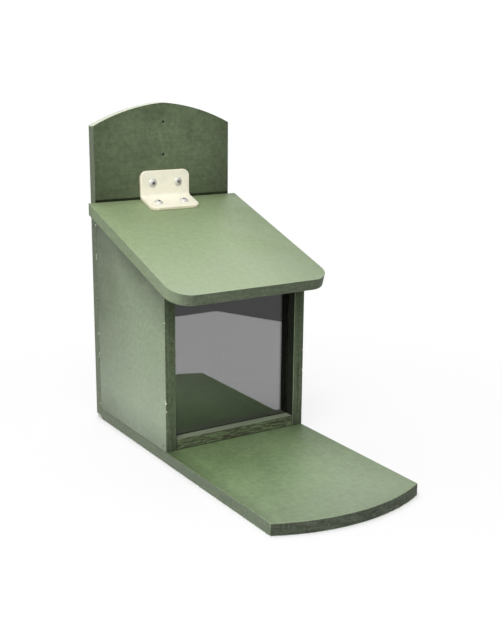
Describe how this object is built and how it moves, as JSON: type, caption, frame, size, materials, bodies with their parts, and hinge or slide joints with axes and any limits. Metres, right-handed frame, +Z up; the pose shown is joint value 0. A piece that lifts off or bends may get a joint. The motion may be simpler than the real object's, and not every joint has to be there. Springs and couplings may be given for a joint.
{
  "type": "squirrel feeder house",
  "caption": "Painted board squirrel feeder with a front platform, a clear sliding pane, and a sloping lid that swings on a bent leather strap hinge.",
  "frame": {"origin": "on the ground under the middle of the whole house, halfway between the platform's front edge and the back of the back board", "axes": "+Z up, +X to the right when facing the pane, the platform points to -Y and the back board faces +Y"},
  "size_m": [0.154, 0.319, 0.2942],
  "materials": {
    "painted_board": "plywood with a satin sage green paint",
    "painted_edge": "rough sawn edge with thin green paint",
    "clear_pane": "clear polished acrylic sheet",
    "strap_leather": "natural cream leather, smooth side out",
    "zinc_screw": "bright zinc plated",
    "brad_steel": "dull steel"
  },
  "bodies": {
    "house": {"floor_board": "painted_board", "back_board": "painted_board", "left_wall": "painted_board", "right_wall": "painted_board", "sill": "painted_edge", "hinge_strap": "strap_leather", "strap_screws_upper": "zinc_screw", "floor_screws_left": "zinc_screw", "floor_screws_right": "zinc_screw", "back_screws_left": "zinc_screw", "back_screws_right": "zinc_screw", "floor_rear_screws": "zinc_screw", "sill_brad_left": "brad_steel", "sill_brad_right": "brad_steel"},
    "lid": {"lid": "painted_board", "strap_screws_lower": "zinc_screw"},
    "pane": {"front_pane": "clear_pane"}
  },
  "joints": [
    {"name": "lid_hinge", "type": "hinge", "parent": "house", "child": "lid", "pos_m": [0, 0.1432, 0.21129], "axis": [-1, 0, 0], "range_deg": [0, 95], "deforming": ["hinge_strap"]},
    {"name": "pane_slide", "type": "slide", "parent": "house", "child": "pane", "axis": [0, 0, 1], "range_m": [0, 0.0035]}
  ]
}
